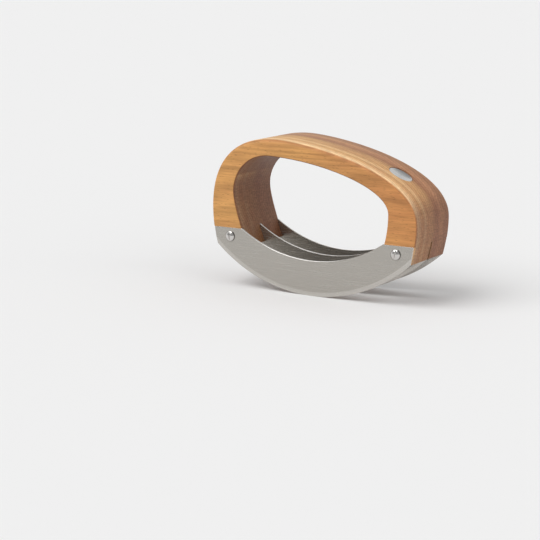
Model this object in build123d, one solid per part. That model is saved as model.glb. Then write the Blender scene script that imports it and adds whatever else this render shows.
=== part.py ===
from build123d import *
import math
import os

# A triple-bladed mezzaluna: a wooden arch handle that carries three crescent blades.
# +X runs along the blades, -Y is the front, +Z is up.
# The origin lies under the middle of the handle, level with the lowest point of the cutting edges.

# Handle, outside; shares give how far each shoulder runs upright at the side and level at the crown
handle_length = 166.0
handle_depth = 50.6
crown_height = 109.0
crown_offset = 29.6
widest_height = 57.1
foot_height = 30.2
foot_tuck = 4.2
left_shoulder_shares = (0.5, 0.81)
right_shoulder_shares = (0.73, 0.2)
leg_bow_shares = (0.47, 0.47)

# Handle, hand opening, from the walls around it
crown_wall = 12.4
left_wall = 18.3
right_wall = 22.2
foot_wall = 25.6
grip_crown_offset = 35.7
grip_left_height = 69.6
grip_right_height = 63.1
grip_left_shares = (0.51, 0.57)
grip_right_shares = (0.58, 0.39)
grip_bow_shares = (0.25, 0.55)
grip_edge_radius = 0.8
grip_edge_steps = 2

# Handle, rounding of the outer edges: full at the crown, less at the sides, faint at the feet
crown_edge_radius = 3.5
crown_edge_steps = 3
side_fade_share = 0.35
foot_fade_share = 0.1

# Blades
blade_thickness = 1.5
tab_height = 42.7
tab_overhang = 4.3
web_height = 25.2
bevel_width = 3.0
edge_land = 0.3

# Binding screws and sleeve nuts
screw_inset = 11.5
screw_radius = 2.0
screw_length = 32.0
sleeve_radius = 2.75
thread_engagement = 18.0
head_radius = 3.8
head_rim = 0.4
head_dome = 1.3
slot_width = 1.0
slot_depth = 0.9
slot_turns = (4.0, -7.0)

# Steel disc let into the right shoulder
disc_radius = 9.0
disc_thickness = 1.2
disc_sink = 0.6
disc_chamfer = 0.3
disc_place_share = 0.68

# Fits, and how far cuts run past what they cut
slide_clearance = 0.05
bore_clearance = 0.1
overrun = 5.0

half_length = handle_length / 2
half_depth = handle_depth / 2
foot_half = half_length - foot_tuck
grip_foot_half = foot_half - foot_wall
# The blades end flush with the flat faces of the feet, inside the rounding.
blade_half = foot_half - foot_fade_share * crown_edge_radius
# The cutting arc is tangent to the ground plane and passes through the blades' ends at the feet.
edge_radius = (blade_half**2 + foot_height**2) / (2 * foot_height)
# The hollow arc above it passes through the inner corners of the tabs.
tab_corner = grip_foot_half + tab_overhang
hollow_rise = tab_height - web_height
hollow_radius = (tab_corner**2 + hollow_rise**2) / (2 * hollow_rise)
outer_blade_offset = half_depth - blade_thickness / 2
screw_height = (foot_height + tab_height) / 2
screw_places = (screw_inset - foot_half, foot_half - screw_inset)
sleeve_length = handle_depth - screw_length + thread_engagement
sleeve_bore = sleeve_radius + bore_clearance


def shoulder(side, crown, shares):
    """Quarter of an outline, upright at the side and level at the crown."""
    rise_share, flat_share = shares
    above_side = (side[0], side[1] + rise_share * (crown[1] - side[1]))
    beside_crown = (crown[0] + flat_share * (side[0] - crown[0]), crown[1])
    return Bezier(side, above_side, beside_crown, crown)


def leg(side, foot, bow_share):
    """Lower side of an outline, upright at its widest point and running out straight to the foot."""
    below_side = (side[0], side[1] + bow_share * (foot[1] - side[1]))
    return Bezier(side, below_side, foot)


def arch(left, right, crown, foot_reach, bow_shares, left_shares, right_shares, skirt=0.0):
    """Closed arch outline in the XZ plane; skirt carries it straight down below the feet."""
    left_foot = (-foot_reach, foot_height)
    right_foot = (foot_reach, foot_height)
    edges = [
        leg(left, left_foot, bow_shares[0]),
        shoulder(left, crown, left_shares),
        shoulder(right, crown, right_shares),
        leg(right, right_foot, bow_shares[1]),
    ]
    if skirt:
        low_left = (-foot_reach, foot_height - skirt)
        low_right = (foot_reach, foot_height - skirt)
        edges.append(Polyline(left_foot, low_left, low_right, right_foot))
    else:
        edges.append(Line(left_foot, right_foot))
    return make_face(edges)


def outer_arch(inset=0.0):
    """Outer outline; an inset draws it in fully at the crown and less towards the feet."""
    reach = half_length - side_fade_share * inset
    return arch(
        (-reach, widest_height),
        (reach, widest_height),
        (-crown_offset, crown_height - inset),
        foot_half - foot_fade_share * inset,
        leg_bow_shares,
        left_shoulder_shares,
        right_shoulder_shares,
    )


def grip_arch(outset=0.0):
    """Outline of the hand opening, widened by an outset and carried down past the feet."""
    return arch(
        (left_wall - half_length - outset, grip_left_height),
        (half_length - right_wall + outset, grip_right_height),
        (-grip_crown_offset, crown_height - crown_wall + outset),
        grip_foot_half + outset,
        grip_bow_shares,
        grip_left_shares,
        grip_right_shares,
        skirt=overrun,
    )


def through(face, depth):
    """Straight prism of a side-view outline, centred on the middle plane."""
    return extrude(Plane.XZ * face, amount=depth / 2, both=True)


def level_box(low, high):
    """Box between two corners."""
    size = [b - a for a, b in zip(low, high)]
    centre = [(a + b) / 2 for a, b in zip(low, high)]
    return Pos(*centre) * Box(*size)


def cross_hole(radius, place):
    """Drill along Y at one screw, right through the handle."""
    return Pos(place, 0, screw_height) * Rot(90, 0, 0) * Cylinder(radius, handle_depth + 2 * overrun)


def quarter_round(outline, radius, steps, side):
    """Sections of an outline that ease it into the front (side 1) or back (side -1) face."""
    sections = []
    for step in range(steps + 1):
        turn = math.pi / 2 * step / steps
        level = half_depth - radius + radius * math.sin(turn)
        sections.append(Plane.XZ.offset(side * level) * outline(radius * (1 - math.cos(turn))))
    return sections


def disc_plane():
    """Plane on the outer surface of the right shoulder, its normal pointing out."""
    side = (half_length, widest_height)
    curve = Plane.XZ * shoulder(side, (-crown_offset, crown_height), right_shoulder_shares)
    place = 1 - disc_place_share
    outward = (curve % place).cross(Vector(0, 1, 0))
    if outward.Z < 0:
        outward = -outward
    return Plane(origin=curve @ place, x_dir=Vector(0, 1, 0), z_dir=outward)


def make_handle():
    """Arch with its hand opening, blade rebates and kerf, cross bores and disc pocket."""
    face = half_depth + overrun
    body = through(outer_arch(), handle_depth - 2 * crown_edge_radius)
    opening = through(grip_arch(), handle_depth - 2 * grip_edge_radius)
    for side in (1, -1):
        body += loft(quarter_round(outer_arch, crown_edge_radius, crown_edge_steps, side), ruled=True)
        mouth = quarter_round(grip_arch, grip_edge_radius, grip_edge_steps, side)
        mouth.append(Plane.XZ.offset(side * face) * grip_arch(grip_edge_radius))
        opening += loft(mouth, ruled=True)
    body -= opening
    reach = half_length + overrun
    rebate = half_depth - blade_thickness
    kerf = blade_thickness / 2 + slide_clearance
    for near, far in ((-face, -rebate), (-kerf, kerf), (rebate, face)):
        body -= level_box((-reach, near, -overrun), (reach, far, tab_height))
    for place in screw_places:
        body -= cross_hole(sleeve_bore, place)
    seat = disc_sink + disc_thickness
    pocket = Pos(0, 0, (seat + overrun) / 2) * Cylinder(disc_radius + slide_clearance, seat + overrun)
    return body - disc_plane().offset(-seat) * pocket


def blade_blank():
    """Tabs that follow the flat of the handle's face, and below them the strip that the arc is ground from."""
    half = blade_thickness / 2
    tabs = through(outer_arch(crown_edge_radius), blade_thickness)
    tabs &= level_box((-half_length, -half, foot_height), (half_length, half, tab_height))
    return tabs + level_box((-blade_half, -half, -overrun), (blade_half, half, foot_height))


def ground_disc():
    """Disc of the cutting arc's radius, its rim tapered from both faces to the land of the edge."""
    face = blade_thickness / 2
    land = edge_land / 2
    front = [(-face, edge_radius), (-face, bevel_width), (-land, 0)]
    back = [(land, 0), (face, bevel_width), (face, edge_radius)]
    profile = Plane.YZ * make_face(Polyline(*front, *back, close=True))
    return revolve(profile, Axis((0, 0, edge_radius), (0, 1, 0)))


def make_blade(offset, hole_radius):
    """Crescent blade: straight tab tops, a hollow between them and a ground convex edge."""
    body = blade_blank() & ground_disc()
    hollow = Rot(90, 0, 0) * Cylinder(hollow_radius, handle_depth)
    body -= Pos(0, 0, web_height + hollow_radius) * hollow
    for place in screw_places:
        body -= cross_hole(hole_radius, place)
    return Pos(0, offset, 0) * body


def domed_head(turn):
    """Slotted domed head that sits on the XY plane."""
    height = head_rim + head_dome
    sphere = (head_radius**2 + head_dome**2) / (2 * head_dome)
    half_arc = math.asin(head_radius / sphere) / 2
    shoulder_point = (sphere * math.sin(half_arc), height - sphere * (1 - math.cos(half_arc)))
    outline = [
        Polyline((0, height), (0, 0), (head_radius, 0), (head_radius, head_rim)),
        ThreePointArc((head_radius, head_rim), shoulder_point, (0, height)),
    ]
    head = revolve(Plane.XZ * make_face(outline), Axis.Z)
    return head - Pos(0, 0, height) * Rot(0, 0, turn) * Box(slot_width, 3 * head_radius, 2 * slot_depth)


def make_screw(place, turn):
    """Binding screw, entered from the front."""
    seat = Plane(origin=(place, -half_depth, screw_height), x_dir=(1, 0, 0), z_dir=(0, -1, 0))
    shank = Pos(0, 0, -screw_length / 2) * Cylinder(screw_radius, screw_length)
    return seat * (domed_head(turn) + shank)


def make_sleeve_nut(place, turn):
    """Sleeve nut, entered from the back, that takes the screw's end."""
    seat = Plane(origin=(place, half_depth, screw_height), x_dir=(-1, 0, 0), z_dir=(0, 1, 0))
    sleeve = Pos(0, 0, -sleeve_length / 2) * Cylinder(sleeve_radius, sleeve_length)
    thread = Pos(0, 0, -sleeve_length / 2) * Cylinder(screw_radius + slide_clearance, sleeve_length)
    return seat * (domed_head(turn) + sleeve - thread)


def make_disc():
    """Plain steel disc, seated in its pocket just below the wood."""
    body = Pos(0, 0, disc_thickness / 2) * Cylinder(disc_radius, disc_thickness)
    body = chamfer(body.edges().group_by(Axis.Z)[-1], disc_chamfer)
    return disc_plane().offset(-disc_sink - disc_thickness) * body


handle = make_handle()
front_blade = make_blade(-outer_blade_offset, screw_radius + bore_clearance)
middle_blade = make_blade(0, sleeve_bore)
back_blade = make_blade(outer_blade_offset, sleeve_bore)
binding_screws = Compound([make_screw(*pair) for pair in zip(screw_places, slot_turns)])
sleeve_nuts = Compound([make_sleeve_nut(*pair) for pair in zip(screw_places, slot_turns)])
inlaid_disc = make_disc()

os.makedirs("parts", exist_ok=True)
export_step(handle, "parts/handle.step")
export_step(front_blade, "parts/front_blade.step")
export_step(middle_blade, "parts/middle_blade.step")
export_step(back_blade, "parts/back_blade.step")
export_step(binding_screws, "parts/binding_screws.step")
export_step(sleeve_nuts, "parts/sleeve_nuts.step")
export_step(inlaid_disc, "parts/inlaid_disc.step")
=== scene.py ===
import bpy
import bmesh
import math
from mathutils import Matrix, Vector


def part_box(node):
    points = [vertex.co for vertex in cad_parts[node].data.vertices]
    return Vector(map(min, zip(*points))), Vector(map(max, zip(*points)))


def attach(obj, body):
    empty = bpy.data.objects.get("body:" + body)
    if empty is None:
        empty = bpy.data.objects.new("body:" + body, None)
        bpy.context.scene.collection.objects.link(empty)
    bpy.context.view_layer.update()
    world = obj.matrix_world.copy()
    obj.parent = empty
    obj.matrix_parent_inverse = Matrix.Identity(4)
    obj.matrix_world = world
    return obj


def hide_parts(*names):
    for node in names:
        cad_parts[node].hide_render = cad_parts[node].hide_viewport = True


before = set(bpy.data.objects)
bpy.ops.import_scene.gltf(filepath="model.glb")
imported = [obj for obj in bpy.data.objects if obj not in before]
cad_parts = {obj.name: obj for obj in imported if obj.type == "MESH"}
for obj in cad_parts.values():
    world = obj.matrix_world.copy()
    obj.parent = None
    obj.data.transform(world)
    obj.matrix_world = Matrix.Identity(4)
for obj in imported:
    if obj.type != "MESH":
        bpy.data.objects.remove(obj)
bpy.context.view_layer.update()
print("frame loaded:", ", ".join(sorted(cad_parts)))

mm = 0.001  # settings are in millimetres, the scene is in metres
handleLow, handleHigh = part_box("handle")
bladeLow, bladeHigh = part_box("front_blade")
halfLength = handleHigh[0] / mm
halfDepth = handleHigh[1] / mm
footHeight = handleLow[2] / mm
crownHeight = handleHigh[2] / mm
tabHeight = bladeHigh[2] / mm
bladeThickness = (bladeHigh[1] - bladeLow[1]) / mm
screwReach, screwHeight = 67.3, 36.45  # both legs carry a screw and a sleeve nut here
noiseSpan = (0.3, 0.7)  # nearly all values of a noise texture lie in here


# Helpers

def linearColour(hexText):
    parts = [int(hexText[i:i + 2], 16) / 255 for i in (0, 2, 4)]
    return [p / 12.92 if p <= 0.04045 else ((p + 0.055) / 1.055) ** 2.4 for p in parts] + [1.0]


# inputs go by name or in order; each takes a value, a node (its first output) or a socket
def fillInputs(tree, node, inputs):
    for key, value in inputs.items() if isinstance(inputs, dict) else enumerate(inputs):
        if isinstance(value, bpy.types.Node):
            value = value.outputs[0]
        if isinstance(value, bpy.types.NodeSocket):
            tree.links.new(value, node.inputs[key])
        else:
            node.inputs[key].default_value = value


def addNode(tree, kind, inputs=(), **settings):
    node = tree.nodes.new(kind)
    for name, value in settings.items():
        setattr(node, name, value)
    fillInputs(tree, node, inputs)
    return node


def newMaterial(name):
    material = bpy.data.materials.new(name)
    material.use_nodes = True
    return material, material.node_tree, material.node_tree.nodes["Principled BSDF"]


# the object's own coordinates, as they come and in millimetres
def objectPlace(tree):
    space = addNode(tree, "ShaderNodeTexCoord").outputs
    inMillimetres = {0: space["Object"], "Scale": 1 / mm}
    return space, addNode(tree, "ShaderNodeVectorMath", inMillimetres, operation="SCALE")


# distance from a point along the axes that the plane keeps
def planeDistance(tree, place, centre, plane):
    away = addNode(tree, "ShaderNodeVectorMath", [place, centre], operation="SUBTRACT")
    inPlane = addNode(tree, "ShaderNodeVectorMath", [away, plane], operation="MULTIPLY")
    return addNode(tree, "ShaderNodeVectorMath", [inPlane], operation="LENGTH").outputs["Value"]


def newObject(name, data):
    piece = bpy.data.objects.new(name, data)
    bpy.context.scene.collection.objects.link(piece)
    return piece


def meshFrom(name, points, faces):
    mesh = bpy.data.meshes.new(name)
    mesh.from_pydata(points, [], faces)
    shell = bmesh.new()
    shell.from_mesh(mesh)
    bmesh.ops.recalc_face_normals(shell, faces=shell.faces)
    shell.to_mesh(mesh)
    shell.free()
    return mesh


# live modifiers become a plain mesh, smooth but for edges above the angle
def bakeShape(piece, sharpAngle=30):
    evaluated = piece.evaluated_get(bpy.context.evaluated_depsgraph_get())
    shape = bpy.data.meshes.new_from_object(evaluated)
    piece.modifiers.clear()
    piece.data = shape
    shape.shade_smooth()
    shape.set_sharp_from_angle(angle=math.radians(sharpAngle))
    return piece


# Oiled hardwood, sawn and sanded: the grain runs along X and the growth layers stand across Y, so the
# front shows calm tangential figure, the crown long bands, and the legs' sides browner end grain

woodLook = {
    # the palest stop, at 2.4 mm, lies on the rounded front edge and is a painted highlight along it;
    # the other stops are the growth layers' colours
    "layersAndEdgeHighlight": (  # depth in mm from the front face, colour
        (0, "c9965e"), (1.2, "bd814e"), (2.4, "f8d8aa"), (5, "f0c997"), (8, "dfb07b"),
        (11, "cf9f6a"), (13, "e5bf8d"), (15, "e2ba87"), (17.5, "cb9b68"), (21, "d3a672"),
        (26, "c29667"), (31, "a47351"), (38, "c19069"), (44, "a47856"), (52, "b68763")),
    "tilt": 0.008, "warp": 0.8, "warpLength": 30, "warpStretch": (0.22, 0.6, 1), "noiseShift": 4.4,
    "pith": (0, 60, 55), "ringSpacing": 2.6, "ringDrift": 5, "driftLength": 22.2,
    "ringSpan": (-0.4, 1), "ringTone": (1.05, 0.87),
    "fibreWidth": 1.2, "fibreLength": 22, "fibreTone": (0.78, 1.16),
    "poreWidth": 1.1, "poreLength": 5, "poreSpan": (0.08, 0.26), "poreTone": (0.66, 1),
    "patchLength": 12, "patchStretch": (0.3, 1, 1), "patchSpan": (0.25, 0.75), "tintDrift": 0.0024,
    "yellowTint": (1.09, 1.07, 0.96), "redTint": (0.93, 0.85, 0.82),
    # the dark end-grain colour is also the colour of painted shade: the left leg's higher share and the
    # share for down-facing surfaces are painted shade
    "endGrainAndShade": "79503c", "endSpan": (0.65, 1), "legSpan": (-45, 0), "legOilAndShadeShares": (0.9, 0.7),
    "undersideShadeSpan": (-0.15, -0.5), "undersideShadeShare": 0.9,
    "rayWidth": 0.9, "rayLength": 4.5, "raySpan": (0.32, 0.68), "rayTone": (-0.2, 0.14),
    "kerfReach": 0.9, "kerfTop": tabHeight + 0.1, "kerfShade": 0.55,
    "gloss": 0.28, "roughness": (0.56, 0.44), "bumpStrength": 0.35, "bumpDepth": 0.12,
}


def makeWood():
    look = woodLook
    material, tree, shader = newMaterial("oiledHardwood")
    space, place = objectPlace(tree)
    axes = addNode(tree, "ShaderNodeSeparateXYZ", [place]).outputs
    # noise is flat on whole steps of its own grid, so the faces are shifted off them
    noisePlace = addNode(tree, "ShaderNodeVectorMath", [place, (0, look["noiseShift"], 0)])

    # slow wander of the growth layers, long along the grain
    longPlace = addNode(tree, "ShaderNodeVectorMath", [
        noisePlace, look["warpStretch"]], operation="MULTIPLY")
    wander = addNode(tree, "ShaderNodeTexNoise", {
        "Vector": longPlace, "Scale": 1 / look["warpLength"], "Detail": 3, "Roughness": 0.55})
    shift = addNode(tree, "ShaderNodeMath", [
        wander, 2 * look["warp"], -look["warp"]], operation="MULTIPLY_ADD")
    level = addNode(tree, "ShaderNodeMath", [axes["Y"], shift], operation="ADD")
    layer = addNode(tree, "ShaderNodeMath", [axes["X"], look["tilt"], level], operation="MULTIPLY_ADD")
    depthRange = look["layersAndEdgeHighlight"][-1][0]
    share = addNode(tree, "ShaderNodeMapRange", [layer, -halfDepth, depthRange - halfDepth])
    bands = addNode(tree, "ShaderNodeValToRGB", [share])
    ramp = bands.color_ramp
    while len(ramp.elements) < len(look["layersAndEdgeHighlight"]):
        ramp.elements.new(1)
    for stop, (depth, colour) in zip(ramp.elements, look["layersAndEdgeHighlight"]):
        stop.position = depth / depthRange
        stop.color = linearColour(colour)

    # growth rings round a pith behind the block: open curves on the front, arcs on the end grain
    drift = addNode(tree, "ShaderNodeTexNoise", {
        "Vector": longPlace, "Scale": 1 / look["driftLength"], "Detail": 1})
    age = planeDistance(tree, place, look["pith"], (0, 1, 1))
    ringPlace = addNode(tree, "ShaderNodeMath", [
        drift, look["ringDrift"] * look["ringSpacing"], age], operation="MULTIPLY_ADD")
    ringTurn = addNode(tree, "ShaderNodeMath", [
        ringPlace, 2 * math.pi / look["ringSpacing"]], operation="MULTIPLY")
    ring = addNode(tree, "ShaderNodeMath", [ringTurn], operation="SINE")
    ringTone = addNode(tree, "ShaderNodeMapRange", [ring, *look["ringSpan"], *look["ringTone"]])

    # fibres: thin streaks along the grain and dots on the ends, drawn wider than real ones to show
    fibrePlace = addNode(tree, "ShaderNodeVectorMath", [
        noisePlace, (look["fibreWidth"] / look["fibreLength"], 1, 1)], operation="MULTIPLY")
    fibres = addNode(tree, "ShaderNodeTexNoise", {
        "Vector": fibrePlace, "Scale": 1 / look["fibreWidth"], "Detail": 4, "Roughness": 0.72})
    fibreTone = addNode(tree, "ShaderNodeMapRange", [fibres, *noiseSpan, *look["fibreTone"]])

    # pores: short dark dashes in the grain's direction, scattered by the cells they sit in
    porePlace = addNode(tree, "ShaderNodeVectorMath", [
        place, (look["poreWidth"] / look["poreLength"], 1, 1)], operation="MULTIPLY")
    pores = addNode(tree, "ShaderNodeTexVoronoi", {"Vector": porePlace, "Scale": 1 / look["poreWidth"]})
    poreTone = addNode(tree, "ShaderNodeMapRange", [
        pores.outputs["Distance"], *look["poreSpan"], *look["poreTone"]])

    # yellower and redder patches, with more red towards the right leg
    patchPlace = addNode(tree, "ShaderNodeVectorMath", [
        noisePlace, look["patchStretch"]], operation="MULTIPLY")
    patches = addNode(tree, "ShaderNodeTexNoise", {
        "Vector": patchPlace, "Scale": 1 / look["patchLength"], "Detail": 2})
    redness = addNode(tree, "ShaderNodeMath", [
        axes["X"], look["tintDrift"], patches], operation="MULTIPLY_ADD")
    redShare = addNode(tree, "ShaderNodeMapRange", [redness, *look["patchSpan"]])
    patchTone = addNode(tree, "ShaderNodeMix", {
        "Factor": redShare, 4: look["yellowTint"], 5: look["redTint"]}, data_type="VECTOR").outputs[1]

    # end grain drinks more oil where the surface faces along X; painted shade darkens the left leg's
    # end grain further and the underside of the crown
    facing = addNode(tree, "ShaderNodeSeparateXYZ", [space["Normal"]]).outputs
    endFacing = addNode(tree, "ShaderNodeMath", [facing["X"]], operation="ABSOLUTE")
    endShare = addNode(tree, "ShaderNodeMapRange", [
        endFacing, *look["endSpan"]], interpolation_type="SMOOTHSTEP")
    # painted shade: the left leg's end grain mixes further towards the dark colour (0.9 against 0.7 on
    # the right)
    legOilAndShadeShare = addNode(tree, "ShaderNodeMapRange", [axes["X"], *look["legSpan"], *look["legOilAndShadeShares"]])
    oilAndShadeMix = addNode(tree, "ShaderNodeMath", [endShare, legOilAndShadeShare], operation="MULTIPLY")
    # painted shade: surfaces that face down, as under the crown, mix towards the dark end-grain colour
    undersideShadeMix = addNode(tree, "ShaderNodeMapRange", [
        facing["Z"], *look["undersideShadeSpan"], 0, look["undersideShadeShare"]])
    darkMix = addNode(tree, "ShaderNodeMath", [oilAndShadeMix, undersideShadeMix], operation="MAXIMUM")
    darkened = addNode(tree, "ShaderNodeMix", {
        "Factor": darkMix, 6: bands, 7: linearColour(look["endGrainAndShade"])}, data_type="RGBA")

    # rays cross the end grain as fine dashes
    rayPlace = addNode(tree, "ShaderNodeVectorMath", [
        place, (1, look["rayWidth"] / look["rayLength"], 1)], operation="MULTIPLY")
    rays = addNode(tree, "ShaderNodeTexNoise", {
        "Vector": rayPlace, "Scale": 1 / look["rayWidth"], "Detail": 2, "Roughness": 0.6})
    rayRange = addNode(tree, "ShaderNodeMapRange", [rays, *look["raySpan"], *look["rayTone"]])
    rayTone = addNode(tree, "ShaderNodeMath", [rayRange, endShare, 1], operation="MULTIPLY_ADD")

    # the saw kerf's walls are darkened with painted shade
    fromMiddle = addNode(tree, "ShaderNodeMath", [axes["Y"]], operation="ABSOLUTE")
    inSlit = addNode(tree, "ShaderNodeMath", [fromMiddle, look["kerfReach"]], operation="LESS_THAN")
    underTop = addNode(tree, "ShaderNodeMath", [axes["Z"], look["kerfTop"]], operation="LESS_THAN")
    inKerf = addNode(tree, "ShaderNodeMath", [inSlit, underTop], operation="MULTIPLY")
    kerfShadeTone = addNode(tree, "ShaderNodeMath", [
        inKerf, -look["kerfShade"], 1], operation="MULTIPLY_ADD")

    colour = darkened.outputs[2]
    for tone in (ringTone, fibreTone, poreTone, patchTone, rayTone, kerfShadeTone):
        colour = addNode(tree, "ShaderNodeVectorMath", [colour, tone], operation="MULTIPLY")
    rough = addNode(tree, "ShaderNodeMapRange", [fibres, *noiseSpan, *look["roughness"]])
    relief = addNode(tree, "ShaderNodeMath", [fibreTone, poreTone], operation="MULTIPLY")
    bump = addNode(tree, "ShaderNodeBump", {
        "Height": relief, "Strength": look["bumpStrength"], "Distance": look["bumpDepth"] * mm})
    fillInputs(tree, shader, {  # little gloss, because it is oiled and not varnished
        "Base Color": colour, "Roughness": rough, "Normal": bump, "Specular IOR Level": look["gloss"]})
    return material


oiledHardwood = makeWood()
print("wood made")


# Arch handle: one sawn and routed block, its outer edges rounded over less and less towards the feet

archSizes = {
    "widest": 57.1, "footHalf": 78.8, "crownX": -29.6,
    "outerBows": (0.47, 0.47), "outerShares": ((0.5, 0.81), (0.73, 0.2)),  # left, right
    "gripSides": ((-64.7, 69.6), (60.8, 63.1)), "gripFoot": 53.2, "gripCrown": (-35.7, 96.6),
    "gripBows": (0.25, 0.55), "gripShares": ((0.51, 0.57), (0.58, 0.39)),
    "outerRound": 3.5, "sideFade": 0.35, "footFade": 0.1, "gripRound": 0.8,
    "legSteps": 20, "shoulderSteps": 70, "outerRoundSteps": 8, "gripRoundSteps": 4,
    "kerfHalf": 0.8, "boreRadius": 2.85, "pocketRadius": 9.05, "pocketReach": 10, "boreSides": 96,
    "softEdge": 0.15, "softAngle": 50,
}


def bezier(points, t):
    while len(points) > 1:
        points = [a.lerp(b, t) for a, b in zip(points, points[1:])]
    return points[0]


# one outline in the side view, from the right foot over the crown to the left foot
def archPath(left, right, crown, reach, bows, shares):
    halves = []
    crown = Vector(crown)
    legSteps, shoulderSteps = archSizes["legSteps"], archSizes["shoulderSteps"]
    for side, bow, (rise, flat) in ((right, bows[1], shares[1]), (left, bows[0], shares[0])):
        foot = Vector((math.copysign(reach, side[0]), footHeight))
        side = Vector(side)
        below = Vector((side.x, side.y + bow * (foot.y - side.y)))
        above = Vector((side.x, side.y + rise * (crown.y - side.y)))
        beside = Vector((crown.x + flat * (side.x - crown.x), crown.y))
        half = [bezier([foot, below, side], i / legSteps) for i in range(legSteps)]
        half += [
            bezier([side, above, beside, crown], i / shoulderSteps) for i in range(shoulderSteps + 1)]
        halves.append(half)
    return halves[0] + halves[1][-2::-1]


def outerPath(inset):
    reach, widest = halfLength - archSizes["sideFade"] * inset, archSizes["widest"]
    return archPath(
        (-reach, widest), (reach, widest), (archSizes["crownX"], crownHeight - inset),
        archSizes["footHalf"] - archSizes["footFade"] * inset,
        archSizes["outerBows"], archSizes["outerShares"])


def gripPath(outset):
    (leftX, leftZ), (rightX, rightZ) = archSizes["gripSides"]
    crownX, crownZ = archSizes["gripCrown"]
    return archPath(
        (leftX - outset, leftZ), (rightX + outset, rightZ), (crownX, crownZ + outset),
        archSizes["gripFoot"] + outset, archSizes["gripBows"], archSizes["gripShares"])


# rows of the rounded surface from the front face to the back face
def roundedRows(path, radius, steps):
    rows = []
    for step in range(steps, -1, -1):
        turn = math.pi / 2 * step / steps
        level = halfDepth - radius + radius * math.sin(turn)
        rows.append((path(radius * (1 - math.cos(turn))), -level))
    return rows + [(line, -level) for line, level in reversed(rows)]


def betweenRows(start, end, level, shares):
    return [([a.lerp(b, share) for a, b in zip(start, end)], level) for share in shares]


def archMesh():
    faceShares = (0.03, 0.35, 0.65, 0.97)  # the first and last keep the flat faces flat in the shading
    outer = roundedRows(outerPath, archSizes["outerRound"], archSizes["outerRoundSteps"])
    inner = roundedRows(gripPath, archSizes["gripRound"], archSizes["gripRoundSteps"])[::-1]
    rows = outer + betweenRows(outer[-1][0], inner[0][0], halfDepth, faceShares)
    rows += inner + betweenRows(inner[-1][0], outer[0][0], -halfDepth, faceShares)
    stations = len(rows[0][0])
    ring = len(rows)
    points = [
        (line[i].x * mm, level * mm, line[i].y * mm) for i in range(stations) for line, level in rows]
    faces = []
    for i in range(stations - 1):
        for j in range(ring):
            k = (j + 1) % ring
            faces.append((i * ring + j, i * ring + k, (i + 1) * ring + k, (i + 1) * ring + j))
    faces.append(tuple(range(ring)))
    faces.append(tuple(range((stations - 1) * ring, stations * ring)))
    return meshFrom("archHandle", points, faces)


def cutterPiece(name, boxes=(), drills=()):
    shell = bmesh.new()
    for low, high in boxes:
        low, high = Vector(low) * mm, Vector(high) * mm
        place = Matrix.Translation((low + high) / 2) @ Matrix.Diagonal((*(high - low), 1))
        bmesh.ops.create_cube(shell, size=1, matrix=place)
    for radius, depth, place in drills:
        bmesh.ops.create_cone(
            shell, cap_ends=True, segments=archSizes["boreSides"], radius1=radius * mm,
            radius2=radius * mm, depth=depth * mm, matrix=place)
    mesh = bpy.data.meshes.new(name)
    shell.to_mesh(mesh)
    shell.free()
    return newObject(name, mesh)


# floor centre and outward direction of the inlaid disc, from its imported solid
def discSeat():
    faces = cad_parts["inlaid_disc"].data.polygons
    largest = max(faces, key=lambda face: face.area).normal
    outward = largest.copy() if largest.z > 0 else -largest
    under = [face for face in faces if face.normal.dot(outward) < -0.99]
    area = sum(face.area for face in under)
    return sum((face.center * face.area for face in under), Vector()) / area, outward


def makeArch():
    piece = newObject("archHandle", archMesh())
    far, low = 2 * halfLength, -5  # beyond the block's ends and below its feet
    wall, kerf = halfDepth - bladeThickness, archSizes["kerfHalf"]
    depths = ((-far, -wall), (-kerf, kerf), (wall, far))
    slots = [((-far, front, low), (far, back, tabHeight)) for front, back in depths]
    across = Matrix.Rotation(math.pi / 2, 4, "X")
    drills = []
    for x in (-screwReach, screwReach):
        place = Matrix.Translation(Vector((x, 0, screwHeight)) * mm) @ across
        drills.append((archSizes["boreRadius"], 4 * halfDepth, place))
    floor, outward = discSeat()
    centre = floor + outward * archSizes["pocketReach"] / 2 * mm
    place = Matrix.Translation(centre) @ outward.to_track_quat("Z", "Y").to_matrix().to_4x4()
    drills.append((archSizes["pocketRadius"], archSizes["pocketReach"], place))
    cutters = [cutterPiece("slotCutter", boxes=slots), cutterPiece("boreCutter", drills=drills)]
    for cutter in cutters:
        cut = piece.modifiers.new(cutter.name, "BOOLEAN")
        cut.operation, cut.solver, cut.object = "DIFFERENCE", "EXACT", cutter
    soften = piece.modifiers.new("softEdges", "BEVEL")
    soften.width, soften.segments = archSizes["softEdge"] * mm, 1
    soften.limit_method, soften.angle_limit = "ANGLE", math.radians(archSizes["softAngle"])
    bakeShape(piece)
    for cutter in cutters:
        bpy.data.objects.remove(cutter)
    piece.data.materials.clear()
    piece.data.materials.append(oiledHardwood)
    return piece


archHandle = makeArch()
print("arch handle:", len(archHandle.data.polygons), "faces")


# Crescent blades: one rule for all three, half a blade on a grid of stations and rows, then mirrored

# right edge of the handle's flat front face, from the foot up
faceEdge = outerPath(archSizes["outerRound"])[:archSizes["legSteps"]]


def reachAt(height):
    for low, high in zip(faceEdge, faceEdge[1:]):
        if low.y <= height <= high.y:
            return low.lerp(high, (height - low.y) / (high.y - low.y)).x


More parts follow.
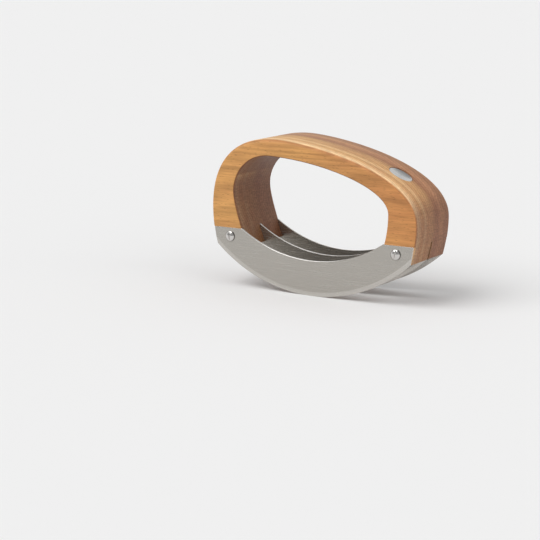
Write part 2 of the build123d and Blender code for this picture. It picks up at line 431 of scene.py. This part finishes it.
footReach, tabReach = faceEdge[0].x, reachAt(tabHeight)
tabCorner, webHeight = 57.5, 25.2
bladeSizes = {
    "Edge radius": (footReach ** 2 + footHeight ** 2) / (2 * footHeight),
    "Foot reach": footReach, "Tab reach": tabReach,
    "End bow": reachAt((footHeight + tabHeight) / 2) - (footReach + tabReach) / 2,
    "Tab height": tabHeight, "Tab corner": tabCorner, "Web height": webHeight,
    "Hollow radius": (tabCorner ** 2 + (tabHeight - webHeight) ** 2) / (2 * (tabHeight - webHeight)),
    "Thickness": bladeThickness, "Bevel width": 3, "Edge land": 0.3, "Broken edge": 0.15,
    "Hole reach": screwReach, "Hole height": screwHeight,
}
bladeSteps = {"hollow": 60, "tab": 14, "hole": 64}  # stations from the middle out, sides of a hole
bladeNodes = {  # node: piece, offset from the middle plane, hole radius
    "front_blade": ("frontBlade", bladeThickness / 2 - halfDepth, 2.1),
    "middle_blade": ("middleBlade", 0, 2.85),
    "back_blade": ("backBlade", halfDepth - bladeThickness / 2, 2.85),
}

# Blade steel, stainless strip with a lengthwise satin grind; the bevel is ground again and shines more

bladeLook = {
    # the pale edge colour is a painted highlight on the cut edges
    "steel": "b3afa8", "bevel": "c5c1bb", "bevelBlur": 0.15, "edgeHighlight": "f2f0ec", "edgeHighlightSpan": (0.8, 0.6),
    "grindWidth": 0.5, "grindLength": 30, "faceShift": 3, "grindTone": (0.94, 1.05),
    "metallic": 0.82, "anisotropy": 0.6, "roughness": (0.2, 0.28),
    "bumpStrength": 0.12, "bumpDepth": 0.03,
}


def makeBladeSteel():
    look = bladeLook
    material, tree, shader = newMaterial("satinGroundSteel")
    space, place = objectPlace(tree)
    # the grind's real lines are too fine to show, so they are drawn 0.5 mm wide; each face has its own
    axes = addNode(tree, "ShaderNodeSeparateXYZ", [place]).outputs
    ownPart = addNode(tree, "ShaderNodeMath", [axes["Y"], look["faceShift"]], operation="MULTIPLY")
    along = addNode(tree, "ShaderNodeMath", [
        axes["X"], look["grindWidth"] / look["grindLength"], ownPart], operation="MULTIPLY_ADD")
    linePlace = addNode(tree, "ShaderNodeCombineXYZ", [along, axes["Z"]])
    lines = addNode(tree, "ShaderNodeTexNoise", {
        "Vector": linePlace, "Scale": 1 / look["grindWidth"], "Detail": 3, "Roughness": 0.6},
        noise_dimensions="2D")
    lineTone = addNode(tree, "ShaderNodeMapRange", [lines, *noiseSpan, *look["grindTone"]])
    # distance from the arc's centre tells the ground bevel from the flat
    edgeRadius = bladeSizes["Edge radius"]
    inner = edgeRadius - bladeSizes["Bevel width"]
    radius = planeDistance(tree, place, (0, 0, edgeRadius), (1, 0, 1))
    bevelShare = addNode(tree, "ShaderNodeMapRange", [
        radius, inner - look["bevelBlur"], inner + look["bevelBlur"]])
    base = addNode(tree, "ShaderNodeMix", {
        "Factor": bevelShare, 6: linearColour(look["steel"]), 7: linearColour(look["bevel"])},
        data_type="RGBA")
    # painted highlight: the cut edges all round are drawn as bright lines
    facing = addNode(tree, "ShaderNodeSeparateXYZ", [space["Normal"]]).outputs
    flatness = addNode(tree, "ShaderNodeMath", [facing["Y"]], operation="ABSOLUTE")
    edgeHighlightShare = addNode(tree, "ShaderNodeMapRange", [flatness, *look["edgeHighlightSpan"]])
    withEdgeHighlight = addNode(tree, "ShaderNodeMix", {
        "Factor": edgeHighlightShare, 6: base.outputs[2], 7: linearColour(look["edgeHighlight"])}, data_type="RGBA")
    colour = addNode(tree, "ShaderNodeVectorMath", [
        withEdgeHighlight.outputs[2], lineTone], operation="MULTIPLY")
    rough = addNode(tree, "ShaderNodeMapRange", [lines, *noiseSpan, *look["roughness"]])
    bump = addNode(tree, "ShaderNodeBump", {
        "Height": lines, "Strength": look["bumpStrength"], "Distance": look["bumpDepth"] * mm})
    across = addNode(tree, "ShaderNodeCombineXYZ", {"Z": 1})  # reflections smear across the grind
    fillInputs(tree, shader, {  # not fully metallic, because a satin grind scatters the rest
        "Base Color": colour, "Roughness": rough, "Normal": bump, "Tangent": across,
        "Metallic": look["metallic"], "Anisotropic": look["anisotropy"]})
    return material


def startTree(name, sizes):
    tree = bpy.data.node_groups.new(name, "GeometryNodeTree")
    tree.interface.new_socket("Geometry", in_out="OUTPUT", socket_type="NodeSocketGeometry")
    for size in sizes:
        tree.interface.new_socket(size, in_out="INPUT", socket_type="NodeSocketFloat")
    inputs = addNode(tree, "NodeGroupInput").outputs
    return tree, {size: inputs[size] for size in sizes}


# values given by name are looked up among the results so far
def lookUp(known, values):
    return [known.get(value, value) for value in values]


# the modifier takes its inputs by the sockets' identifiers, before the object is first evaluated;
# an input called a turn is in degrees
def growPiece(name, tree, sizes):
    piece = newObject(name, bpy.data.meshes.new(name))
    grow = piece.modifiers.new(tree.name, "NODES")
    grow.node_group = tree
    for item in tree.interface.items_tree:
        if item.in_out == "INPUT":
            isAngle = item.name.endswith("turn")
            grow[item.identifier] = math.radians(sizes[item.name]) if isAngle else sizes[item.name] * mm
    return bakeShape(piece)


# each row of a formula names its result, a maths operation and the values that go into it
def crescentTree():
    tree, known = startTree("crescentBlade", [*bladeSizes, "Offset", "Hole radius"])
    rows = 8
    tabStart, tabEnd = bladeSteps["hollow"], bladeSteps["hollow"] + bladeSteps["tab"]
    middle = tabEnd + 2  # two more stations close each end
    grid = addNode(tree, "GeometryNodeMeshGrid", {"Vertices X": 2 * middle + 1, "Vertices Y": rows})
    known["index"] = addNode(tree, "GeometryNodeInputIndex")
    formula = [
        ("row", "MODULO", "index", rows),
        ("strip", "DIVIDE", "index", rows),
        ("station", "FLOOR", "strip"),
        ("column", "SUBTRACT", "station", middle),
        ("steps", "ABSOLUTE", "column"),
        ("side", "SIGN", "column"),
        ("closed", "LESS_THAN", "steps", middle - 0.5),
        ("corner", "DIVIDE", "Tab corner", "Tab reach"),
        ("broken", "DIVIDE", "Broken edge", "Foot reach"),
        ("beyond", "ADD", "corner", "broken"),
        ("tabShare", "SUBTRACT", 1, "beyond"),
        ("half", "MULTIPLY", "Thickness", 0.5),
        ("halfLand", "MULTIPLY", "Edge land", 0.5),
        ("topHalf", "SUBTRACT", "half", "Broken edge"),
    ]
    for name, operation, *values in formula:
        known[name] = addNode(tree, "ShaderNodeMath", lookUp(known, values), operation=operation)
    # share of the half length at each station: the hollow, the tab, and the broken edge at the end,
    # where the blade narrows too
    spans = [
        ("hollowPart", 0, tabStart, 0, "corner"),
        ("tabPart", tabStart, tabEnd, 0, "tabShare"),
        ("endPart", tabEnd, tabEnd + 1, 0, "broken"),
        ("narrow", tabEnd, tabEnd + 1, "half", "topHalf"),
    ]
    for name, *values in spans:
        known[name] = addNode(tree, "ShaderNodeMapRange", lookUp(known, ("steps", *values)))
    formula = [
        ("inner", "ADD", "hollowPart", "tabPart"),
        ("share", "ADD", "inner", "endPart"),
        # each station is a line from the cutting arc up to the tab's top or the hollow
        ("lowX", "MULTIPLY", "share", "Foot reach"),
        ("lowX2", "MULTIPLY", "lowX", "lowX"),
        ("edge2", "MULTIPLY", "Edge radius", "Edge radius"),
        ("drop2", "SUBTRACT", "edge2", "lowX2"),
        ("drop", "SQRT", "drop2"),
        ("lowZ", "SUBTRACT", "Edge radius", "drop"),
        ("highX", "MULTIPLY", "share", "Tab reach"),
        ("highX2", "MULTIPLY", "highX", "highX"),
        ("hollow2", "MULTIPLY", "Hollow radius", "Hollow radius"),
        ("hang2", "SUBTRACT", "hollow2", "highX2"),
        ("hang", "SQRT", "hang2"),
        ("hollowTop", "ADD", "Web height", "Hollow radius"),
        ("hollowZ", "SUBTRACT", "hollowTop", "hang"),
        ("highZ", "MINIMUM", "hollowZ", "Tab height"),
        ("runX", "SUBTRACT", "highX", "lowX"),
        ("runZ", "SUBTRACT", "highZ", "lowZ"),
        # where that line crosses the inner circle of the ground bevel
        ("runX2", "MULTIPLY", "runX", "runX"),
        ("run2", "MULTIPLY_ADD", "runZ", "runZ", "runX2"),
        ("rise", "MULTIPLY", "drop", "runZ"),
        ("swing", "MULTIPLY", "lowX", "runX"),
        ("towards", "SUBTRACT", "rise", "swing"),
        ("twoRadii", "MULTIPLY", "Edge radius", 2),
        ("radiiLess", "SUBTRACT", "twoRadii", "Bevel width"),
        ("ring", "MULTIPLY", "radiiLess", "Bevel width"),
        ("ringRun", "MULTIPLY", "run2", "ring"),
        ("towards2", "MULTIPLY", "towards", "towards"),
        ("root2", "SUBTRACT", "towards2", "ringRun"),
        ("root", "SQRT", "root2"),
        ("reach", "SUBTRACT", "towards", "root"),
        ("bevelTop", "DIVIDE", "reach", "run2"),
        ("brokenTop", "DIVIDE", "Broken edge", "runZ"),
        ("top", "SUBTRACT", 1, "brokenTop"),
        # a row near each end of the flat keeps its shading flat
        ("flat", "SUBTRACT", "top", "bevelTop"),
        ("nearBevel", "MULTIPLY_ADD", "flat", 0.06, "bevelTop"),
        ("nearTop", "MULTIPLY_ADD", "flat", 0.94, "bevelTop"),
    ]
    for name, operation, *values in formula:
        known[name] = addNode(tree, "ShaderNodeMath", lookUp(known, values), operation=operation)
    # rows from the cutting edge up the face to the middle of the top edge
    rowValues = {
        "height": (0, 0, "bevelTop", "nearBevel", "nearTop", "top", 1, 1),
        "depth": (0, "halfLand", "half", "half", "half", "half", "topHalf", 0),
    }
    for name, values in rowValues.items():
        known[name] = addNode(tree, "GeometryNodeIndexSwitch", data_type="FLOAT")
        while len(known[name].index_switch_items) < len(values):
            known[name].index_switch_items.new()
        fillInputs(tree, known[name], lookUp(known, ("row", *values)))
    formula = [
        # the ends bow out with the handle's side, halfway up and only near the tips
        ("away", "SUBTRACT", 1, "height"),
        ("arch", "MULTIPLY", "height", "away"),
        ("end", "POWER", "share", 6),
        ("bowed", "MULTIPLY", "arch", "End bow"),
        ("bow4", "MULTIPLY", "bowed", 4),
        ("bowX", "MULTIPLY", "bow4", "end"),
        ("straightX", "MULTIPLY_ADD", "height", "runX", "lowX"),
        ("halfX", "ADD", "straightX", "bowX"),
        ("x", "MULTIPLY", "halfX", "side"),
        ("z", "MULTIPLY_ADD", "height", "runZ", "lowZ"),
        ("thin", "MINIMUM", "depth", "narrow"),
        ("shut", "MULTIPLY", "thin", "closed"),
        ("y", "MULTIPLY", "shut", -1),
        ("holeLeft", "MULTIPLY", "Hole reach", -1),
        ("holeRun", "MULTIPLY", "Hole reach", 2),
        ("through", "MULTIPLY", "Thickness", 4),
    ]
    for name, operation, *values in formula:
        known[name] = addNode(tree, "ShaderNodeMath", lookUp(known, values), operation=operation)
    place = addNode(tree, "ShaderNodeCombineXYZ", [known["x"], known["y"], known["z"]])
    halfBlade = addNode(tree, "GeometryNodeSetPosition", {"Geometry": grid, "Position": place})
    mirrored = addNode(tree, "GeometryNodeTransform", {"Geometry": halfBlade, "Scale": (1, -1, 1)})
    flipped = addNode(tree, "GeometryNodeFlipFaces", {"Mesh": mirrored})
    both = addNode(tree, "GeometryNodeJoinGeometry", [halfBlade])
    fillInputs(tree, both, [flipped])
    whole = addNode(tree, "GeometryNodeMergeByDistance", {"Geometry": both, "Distance": 0.01 * mm})

    drill = addNode(tree, "GeometryNodeMeshCylinder", {
        "Vertices": bladeSteps["hole"], "Radius": known["Hole radius"], "Depth": known["through"]})
    firstHole = addNode(tree, "ShaderNodeCombineXYZ", {
        "X": known["holeLeft"], "Z": known["Hole height"]})
    nextHole = addNode(tree, "ShaderNodeCombineXYZ", {"X": known["holeRun"]})
    holes = addNode(tree, "GeometryNodeMeshLine", {
        "Count": 2, "Start Location": firstHole, "Offset": nextHole}, mode="OFFSET")
    stood = addNode(tree, "GeometryNodeInstanceOnPoints", {
        "Points": holes, "Instance": drill, "Rotation": (math.pi / 2, 0, 0)})
    drills = addNode(tree, "GeometryNodeRealizeInstances", {"Geometry": stood})
    bored = addNode(tree, "GeometryNodeMeshBoolean", {
        "Mesh 1": whole, "Mesh 2": drills}, operation="DIFFERENCE", solver="EXACT")
    offset = addNode(tree, "ShaderNodeCombineXYZ", {"Y": known["Offset"]})
    moved = addNode(tree, "GeometryNodeTransform", {"Geometry": bored, "Translation": offset})
    plain = addNode(tree, "GeometryNodeRealizeInstances", {"Geometry": moved})
    dressed = addNode(tree, "GeometryNodeSetMaterial", {
        "Geometry": plain, "Material": satinGroundSteel})
    addNode(tree, "NodeGroupOutput", [dressed])
    return tree


satinGroundSteel = makeBladeSteel()
bladeTree = crescentTree()
blades = {}
for node, (name, offset, holeRadius) in bladeNodes.items():
    blades[node] = growPiece(name, bladeTree, {
        **bladeSizes, "Offset": offset, "Hole radius": holeRadius})
    print(name, "grown:", len(blades[node].data.polygons), "faces")


# Binding screws and sleeve nuts: one slotted, domed fastener, stood in both legs

fastenerSizes = {
    "Head radius": 3.8, "Head rim": 0.4, "Head dome": 1.3, "Broken edge": 0.15,
    "Slot width": 1, "Slot depth": 0.9, "Left slot turn": 4, "Right slot turn": -7,
    "Leg reach": screwReach, "Height": screwHeight, "Seat": halfDepth,
}
fastenerNodes = {  # node: piece, shank radius, shank length, bore radius, bore depth, facing turn
    "binding_screws": ("bindingScrews", 2, 32, 0, 0, 0),
    "sleeve_nuts": ("sleeveNuts", 2.75, 36.6, 2.05, 36.6, 180),
}
fastenerSteps = {"around": 72, "dome": 12}

# Screw steel, bright turned domes with faint rings from the lathe

screwLook = {
    # the dark rim colour is painted shade where the head meets the blade
    "steel": "d6d3d0", "rimShade": "6e6862", "rimShadeSpan": (3.2, 3.75), "ringSpacing": 0.4,
    "grimeLength": 1.11, "grimeTone": (0.92, 1.04), "roughness": (0.1, 0.22),
    "bumpStrength": 0.1, "bumpDepth": 0.01,
}


def makeScrewSteel():
    look = screwLook
    material, tree, shader = newMaterial("turnedScrewSteel")
    place = objectPlace(tree)[1]
    # each head's own axis: both legs mirror each other, so the distance is taken on one side
    mirrored = addNode(tree, "ShaderNodeVectorMath", [place], operation="ABSOLUTE")
    radius = planeDistance(tree, mirrored, (screwReach, 0, screwHeight), (1, 0, 1))
    turn = addNode(tree, "ShaderNodeMath", [
        radius, 2 * math.pi / look["ringSpacing"]], operation="MULTIPLY")
    rings = addNode(tree, "ShaderNodeMath", [turn], operation="SINE")
    grime = addNode(tree, "ShaderNodeTexNoise", {
        "Vector": place, "Scale": 1 / look["grimeLength"], "Detail": 2})
    tone = addNode(tree, "ShaderNodeMapRange", [grime, 0, 1, *look["grimeTone"]])
    # painted shade: a dark line round the rim, where the head meets the blade
    rimShadeShare = addNode(tree, "ShaderNodeMapRange", [radius, *look["rimShadeSpan"]])
    rimShaded = addNode(tree, "ShaderNodeMix", {
        "Factor": rimShadeShare, 6: linearColour(look["steel"]), 7: linearColour(look["rimShade"])},
        data_type="RGBA")
    colour = addNode(tree, "ShaderNodeVectorMath", [rimShaded.outputs[2], tone], operation="MULTIPLY")
    rough = addNode(tree, "ShaderNodeMapRange", [grime, *noiseSpan, *look["roughness"]])
    bump = addNode(tree, "ShaderNodeBump", {
        "Height": rings, "Strength": look["bumpStrength"], "Distance": look["bumpDepth"] * mm})
    fillInputs(tree, shader, {"Base Color": colour, "Roughness": rough, "Normal": bump, "Metallic": 1})
    return material


def fastenerTree():
    tree, known = startTree("slottedFastener", [
        *fastenerSizes, "Shank radius", "Shank length", "Bore radius", "Bore depth", "Facing turn"])
    around, domeRows = fastenerSteps["around"], fastenerSteps["dome"]
    rows = domeRows + 9
    grid = addNode(tree, "GeometryNodeMeshGrid", {"Vertices X": around + 1, "Vertices Y": rows})
    known["index"] = addNode(tree, "GeometryNodeInputIndex")
    formula = [
        ("row", "MODULO", "index", rows),
        ("strip", "DIVIDE", "index", rows),
        ("column", "FLOOR", "strip"),
        ("turn", "MULTIPLY", "column", 2 * math.pi / around),
        ("afterDome", "SUBTRACT", "row", domeRows),
        ("choice", "MAXIMUM", "afterDome", 0),
        # the dome is a cap of a sphere, in rows of equal angle
        ("headTop", "ADD", "Head rim", "Head dome"),
        ("headRadius2", "MULTIPLY", "Head radius", "Head radius"),
        ("chord2", "MULTIPLY_ADD", "Head dome", "Head dome", "headRadius2"),
        ("twoDomes", "MULTIPLY", "Head dome", 2),
        ("sphere", "DIVIDE", "chord2", "twoDomes"),
        ("rimShare", "DIVIDE", "Head radius", "sphere"),
        ("arc", "ARCSINE", "rimShare"),
        ("rowShare", "DIVIDE", "row", domeRows),
        ("lean", "MULTIPLY", "rowShare", "arc"),
        ("leanSine", "SINE", "lean"),
        ("leanCosine", "COSINE", "lean"),
        ("domeRadius", "MULTIPLY", "sphere", "leanSine"),
        ("fall", "SUBTRACT", 1, "leanCosine"),
        ("domeFall", "MULTIPLY", "sphere", "fall"),
        ("domeLevel", "SUBTRACT", "headTop", "domeFall"),
        ("headInner", "SUBTRACT", "Head radius", "Broken edge"),
        ("shankInner", "SUBTRACT", "Shank radius", "Broken edge"),
        ("shankEnd", "MULTIPLY", "Shank length", -1),
        ("shankLow", "ADD", "shankEnd", "Broken edge"),
        ("boreTop", "ADD", "shankEnd", "Bore depth"),
    ]
    for name, operation, *values in formula:
        known[name] = addNode(tree, "ShaderNodeMath", lookUp(known, values), operation=operation)
    # profile after the dome: down the rim, under the head, down the shank and up its bore
    rowValues = {
        "radius": (
            "domeRadius", "Head radius", "headInner", "Shank radius", "Shank radius", "shankInner",
            "Bore radius", "Bore radius", 0),
        "level": (
            "domeLevel", "Broken edge", 0, 0, "shankLow", "shankEnd",
            "shankEnd", "boreTop", "boreTop"),
    }
    for name, values in rowValues.items():
        known[name] = addNode(tree, "GeometryNodeIndexSwitch", data_type="FLOAT")
        while len(known[name].index_switch_items) < len(values):
            known[name].index_switch_items.new()
        fillInputs(tree, known[name], lookUp(known, ("choice", *values)))
    known["leg"] = addNode(tree, "GeometryNodeInputIndex")
    formula = [
        ("turnCosine", "COSINE", "turn"),
        ("turnSine", "SINE", "turn"),
        ("x", "MULTIPLY", "radius", "turnCosine"),
        ("y", "MULTIPLY", "radius", "turnSine"),
        ("sawReach", "MULTIPLY", "Head radius", 3),
        ("sawDepth", "MULTIPLY", "Slot depth", 2),
        ("left", "MULTIPLY", "Leg reach", -1),
        ("front", "MULTIPLY", "Seat", -1),
        ("apart", "MULTIPLY", "Leg reach", 2),
        ("turnRange", "SUBTRACT", "Right slot turn", "Left slot turn"),
        ("slotTurn", "MULTIPLY_ADD", "leg", "turnRange", "Left slot turn"),
    ]
    for name, operation, *values in formula:
        known[name] = addNode(tree, "ShaderNodeMath", lookUp(known, values), operation=operation)
    place = addNode(tree, "ShaderNodeCombineXYZ", [known["x"], known["y"], known["level"]])
    turned = addNode(tree, "GeometryNodeSetPosition", {"Geometry": grid, "Position": place})
    closed = addNode(tree, "GeometryNodeMergeByDistance", {"Geometry": turned, "Distance": 0.002 * mm})
    sawSize = addNode(tree, "ShaderNodeCombineXYZ", [
        known["Slot width"], known["sawReach"], known["sawDepth"]])
    saw = addNode(tree, "GeometryNodeMeshCube", {"Size": sawSize})
    sawPlace = addNode(tree, "ShaderNodeCombineXYZ", {"Z": known["headTop"]})
    saw = addNode(tree, "GeometryNodeTransform", {"Geometry": saw, "Translation": sawPlace})
    slotted = addNode(tree, "GeometryNodeMeshBoolean", {
        "Mesh 1": closed, "Mesh 2": saw}, operation="DIFFERENCE", solver="EXACT")
    firstLeg = addNode(tree, "ShaderNodeCombineXYZ", [known["left"], known["front"], known["Height"]])
    nextLeg = addNode(tree, "ShaderNodeCombineXYZ", {"X": known["apart"]})
    legs = addNode(tree, "GeometryNodeMeshLine", {
        "Count": 2, "Start Location": firstLeg, "Offset": nextLeg}, mode="OFFSET")
    stood = addNode(tree, "GeometryNodeInstanceOnPoints", {
        "Points": legs, "Instance": slotted, "Rotation": (math.pi / 2, 0, 0)})
    ownTurn = addNode(tree, "ShaderNodeCombineXYZ", {"Z": known["slotTurn"]})
    turnedHeads = addNode(tree, "GeometryNodeRotateInstances", {
        "Instances": stood, "Rotation": ownTurn, "Local Space": True})
    facing = addNode(tree, "ShaderNodeCombineXYZ", {"Z": known["Facing turn"]})
    faced = addNode(tree, "GeometryNodeTransform", {"Geometry": turnedHeads, "Rotation": facing})
    plain = addNode(tree, "GeometryNodeRealizeInstances", {"Geometry": faced})
    dressed = addNode(tree, "GeometryNodeSetMaterial", {
        "Geometry": plain, "Material": turnedScrewSteel})
    addNode(tree, "NodeGroupOutput", [dressed])
    return tree


turnedScrewSteel = makeScrewSteel()
screwTree = fastenerTree()
fasteners = {}
for node, (name, shankRadius, shankLength, boreRadius, boreDepth, facingTurn) in fastenerNodes.items():
    fasteners[node] = growPiece(name, screwTree, {
        **fastenerSizes, "Shank radius": shankRadius, "Shank length": shankLength,
        "Bore radius": boreRadius, "Bore depth": boreDepth, "Facing turn": facingTurn})
    print(name, "grown:", len(fasteners[node].data.polygons), "faces")


# Inlaid disc: stamped sheet with a chamfered rim and a shallow dish

discSizes = {
    "radius": 9, "thickness": 1.2, "chamfer": 0.3, "rim": 0.7, "dish": 0.55, "softEdge": 0.1,
    "around": 128, "dishRows": 12, "sharpAngle": 25,
}

# Disc steel, stamped and polished, a touch wavy as thin polished sheet is

discLook = {
    "steel": "c6c7c6", "rippleLength": 10, "rippleDepth": 0.3, "hazeLength": 0.833,
    "hazeTone": (0.95, 1.03), "roughness": (0.14, 0.22), "anisotropy": 0.7,
}


def makeDiscSteel():
    look = discLook
    material, tree, shader = newMaterial("polishedDiscSteel")
    space, place = objectPlace(tree)
    ripple = addNode(tree, "ShaderNodeTexNoise", {
        "Vector": place, "Scale": 1 / look["rippleLength"], "Detail": 0})
    haze = addNode(tree, "ShaderNodeTexNoise", {
        "Vector": place, "Scale": 1 / look["hazeLength"], "Detail": 3})
    tone = addNode(tree, "ShaderNodeMapRange", [haze, 0, 1, *look["hazeTone"]])
    colour = addNode(tree, "ShaderNodeVectorMath", [
        linearColour(look["steel"])[:3], tone], operation="MULTIPLY")
    rough = addNode(tree, "ShaderNodeMapRange", [haze, *noiseSpan, *look["roughness"]])
    bump = addNode(tree, "ShaderNodeBump", {
        "Height": ripple, "Strength": 1, "Distance": look["rippleDepth"] * mm})
    # faint turned marks run round the middle, so reflections smear outwards from it
    outwards = addNode(tree, "ShaderNodeVectorMath", [
        space["Object"], discSeat()[0]], operation="SUBTRACT")
    fillInputs(tree, shader, {
        "Base Color": colour, "Roughness": rough, "Normal": bump, "Tangent": outwards,
        "Metallic": 1, "Anisotropic": look["anisotropy"]})
    return material


def makeDisc():
    size = discSizes
    radius, top, soft, chamfer = size["radius"], size["thickness"], size["softEdge"], size["chamfer"]
    bowl = radius - chamfer - size["rim"]
    profile = [
        (0, 0), (radius - soft, 0), (radius, soft), (radius, top - chamfer), (radius - chamfer, top)]
    shares = [1 - i / size["dishRows"] for i in range(size["dishRows"] + 1)]
    profile += [(bowl * share, top - size["dish"] * (1 - share ** 2)) for share in shares]
    shell = bmesh.new()
    line = [shell.verts.new((reach * mm, 0, level * mm)) for reach, level in profile]
    edges = [shell.edges.new(pair) for pair in zip(line, line[1:])]
    bmesh.ops.spin(shell, geom=line + edges, axis=(0, 0, 1), steps=size["around"], angle=2 * math.pi)
    bmesh.ops.remove_doubles(shell, verts=shell.verts, dist=0.001 * mm)
    bmesh.ops.recalc_face_normals(shell, faces=shell.faces)
    floor, outward = discSeat()
    shell.transform(Matrix.Translation(floor) @ outward.to_track_quat("Z", "Y").to_matrix().to_4x4())
    mesh = bpy.data.meshes.new("badgeDisc")
    shell.to_mesh(mesh)
    shell.free()
    mesh.materials.append(polishedDiscSteel)
    mesh.shade_smooth()
    mesh.set_sharp_from_angle(angle=math.radians(size["sharpAngle"]))
    return newObject("badgeDisc", mesh)


polishedDiscSteel = makeDiscSteel()
badgeDisc = makeDisc()
print("disc made:", len(badgeDisc.data.polygons), "faces")


# Where each piece belongs

slotPieces = {
    "handle_wood": {"handle": archHandle}, "blade_steel": blades,
    "screw_steel": fasteners, "disc_steel": {"inlaid_disc": badgeDisc},
}
for slotName, pieces in slotPieces.items():
    for node, piece in pieces.items():
        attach(piece, "root")
        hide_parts(node)


# Floor, light and camera

stageLook = {  # metres and degrees, but for the lens and its sensor
    "floorHalf": 6, "floor": "efefef", "floorRoughness": 0.9,
    "airDiffuse": 0.55, "airSeen": 0.863, "airDark": 0.36,
    "aboveSpan": (0.42, 0.6), "behindSpan": (-0.15, -0.6), "softBoxSpan": (0.84, 0.93),
    "lamps": {  # energy, spread, direction it comes from
        "windowLight": (1.59, 50, (-0.4, -0.52, 0.76)), "sideFill": (0.8, 60, (0.93, -0.2, 0.28)),
    },
    "lens": 107.18, "sensor": 36, "nearest": 0.01,
    "cameraPlace": (0.5649, -0.97807, 0.24387), "cameraTurn": (78.504, 0, 32.128),
}


# the pale floor is matt: it scatters evenly and mirrors nothing
def makeStage():
    half = stageLook["floorHalf"]
    corners = [(-half, -half, 0), (half, -half, 0), (half, half, 0), (-half, half, 0)]
    floor = newObject("paleFloor", meshFrom("paleFloor", corners, [(0, 1, 2, 3)]))
    material, tree, shader = newMaterial("paleStudioFloor")
    fillInputs(tree, shader, {
        "Base Color": linearColour(stageLook["floor"]), "Roughness": stageLook["floorRoughness"],
        "Specular IOR Level": 0})
    floor.data.materials.append(material)


def makeLight():
    world = bpy.data.worlds.new("studioAir")
    bpy.context.scene.world = world
    world.use_nodes = True
    tree = world.node_tree
    path = addNode(tree, "ShaderNodeLightPath").outputs
    seen = addNode(tree, "ShaderNodeMath", [
        path["Is Camera Ray"], path["Is Glossy Ray"]], operation="MAXIMUM")
    seen = addNode(tree, "ShaderNodeMath", [seen, path["Is Transmission Ray"]], operation="MAXIMUM")
    # polish sees the studio darken above the backdrop and behind the photographer, but for a soft box
    # overhead
    sky = addNode(tree, "ShaderNodeTexCoord").outputs["Generated"]
    direction = addNode(tree, "ShaderNodeSeparateXYZ", [sky]).outputs
    above, behind, softBox = [
        addNode(tree, "ShaderNodeMapRange", [
            direction[axis], *stageLook[span]], interpolation_type="SMOOTHSTEP")
        for axis, span in (("Z", "aboveSpan"), ("Y", "behindSpan"), ("Z", "softBoxSpan"))]
    between = addNode(tree, "ShaderNodeMath", [above, softBox], operation="SUBTRACT")
    dark = addNode(tree, "ShaderNodeMath", [between, behind], operation="MAXIMUM")
    polishDark = addNode(tree, "ShaderNodeMath", [dark, path["Is Glossy Ray"]], operation="MULTIPLY")
    seenLevel = addNode(tree, "ShaderNodeMapRange", [
        polishDark, 0, 1, stageLook["airSeen"], stageLook["airDark"]])
    strength = addNode(tree, "ShaderNodeMapRange", [seen, 0, 1, stageLook["airDiffuse"], seenLevel])
    fillInputs(tree, tree.nodes["Background"], {"Color": (1, 1, 1, 1), "Strength": strength})
    for name, (energy, spread, comesFrom) in stageLook["lamps"].items():
        lamp = bpy.data.lights.new(name, "SUN")
        lamp.energy = energy
        lamp.angle = math.radians(spread)
        newObject(name, lamp).rotation_euler = Vector(comesFrom).to_track_quat("Z", "Y").to_euler()


def makeCamera():
    lens = bpy.data.cameras.new("photoCamera")
    lens.lens = stageLook["lens"]
    lens.sensor_width = stageLook["sensor"]
    lens.clip_start = stageLook["nearest"]
    camera = newObject("photoCamera", lens)
    camera.location = stageLook["cameraPlace"]
    camera.rotation_euler = [math.radians(angle) for angle in stageLook["cameraTurn"]]
    bpy.context.scene.camera = camera


makeStage()
makeLight()
makeCamera()
bpy.context.scene.view_settings.view_transform = "Standard"
print("floor, light and camera set")
